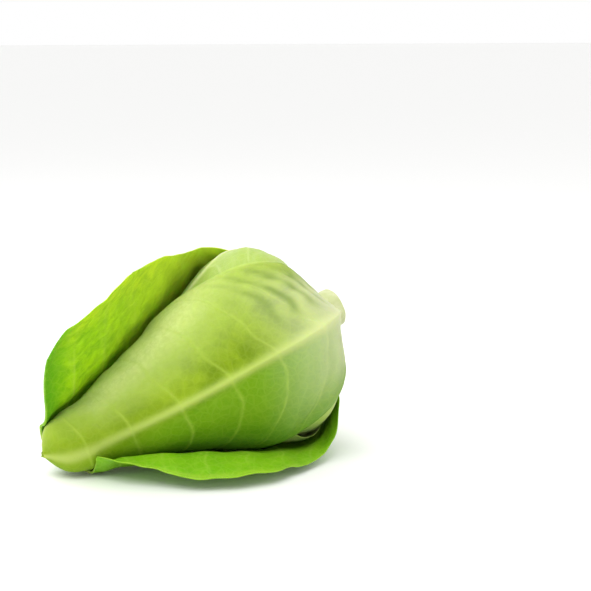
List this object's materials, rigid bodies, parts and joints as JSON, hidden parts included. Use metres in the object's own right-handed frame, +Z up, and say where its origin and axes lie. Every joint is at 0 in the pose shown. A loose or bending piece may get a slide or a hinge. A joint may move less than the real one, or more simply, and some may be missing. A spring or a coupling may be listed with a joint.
{
  "type": "pointed cabbage",
  "caption": "Whole pointed cabbage lying on its side: conical head of overlapping ribbed leaves, cut stalk at the broad end, loose outer leaves spread above and below.",
  "frame": {"origin": "middle of the footprint, at floor level, with the cabbage lying on its side", "axes": "+Z up; the cut stalk faces +X and the point faces -X; the side seen in the picture faces -Y"},
  "size_m": [0.2386, 0.1642, 0.143],
  "materials": {
    "stalk": "moist cut stem",
    "heart": "waxy leaf",
    "inner_leaf": "waxy leaf",
    "front_leaf": "waxy leaf",
    "outer_leaf": "waxy leaf"
  },
  "bodies": {
    "root": {"stalk": "stalk", "heart": "heart", "inner_leaf_1": "inner_leaf", "inner_leaf_2": "inner_leaf", "inner_leaf_3": "inner_leaf", "inner_leaf_4": "inner_leaf", "front_leaf": "front_leaf", "upper_outer_leaf": "outer_leaf", "lower_outer_leaf": "outer_leaf"}
  },
  "joints": []
}
